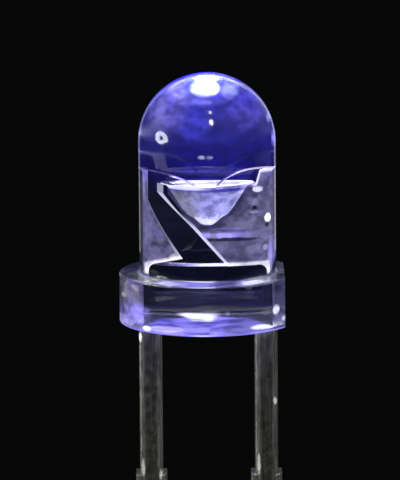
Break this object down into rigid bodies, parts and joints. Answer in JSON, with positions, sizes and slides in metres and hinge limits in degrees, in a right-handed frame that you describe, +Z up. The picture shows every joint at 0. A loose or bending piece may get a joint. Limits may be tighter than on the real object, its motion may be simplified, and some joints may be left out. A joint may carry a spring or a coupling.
{
  "type": "through hole led",
  "caption": "Clear round through-hole LED with a domed lens, a flange with one flat and two straight square leads, shown lit violet.",
  "frame": {"origin": "centre of the flange's underside, where the lens stands off a circuit board", "axes": "+Z up the lens's optical axis, +X towards the cathode lead and the flange's flat, and the stamped lead frame lies in the XZ plane"},
  "size_m": [0.0036, 0.0038, 0.0325],
  "materials": {
    "clear_epoxy": "water-clear cast epoxy, polished by its mould, glowing violet from the chip",
    "plated_frame": "stamped steel, silver plated inside the lens and tinned on the leads, with rolled stamping edges",
    "lit_chip": "sapphire-backed chip, lit",
    "die_adhesive": "cured white die adhesive",
    "gold_contact": "gold contact pad",
    "gold_wire": "drawn gold wire"
  },
  "bodies": {
    "root": {"epoxy_lens": "clear_epoxy", "cathode_lead": "plated_frame", "anode_lead": "plated_frame", "led_chip": "lit_chip", "die_attach": "die_adhesive", "p_contact": "gold_contact", "n_contact": "gold_contact", "anode_bond_wire": "gold_wire", "cathode_bond_wire": "gold_wire"}
  },
  "joints": []
}
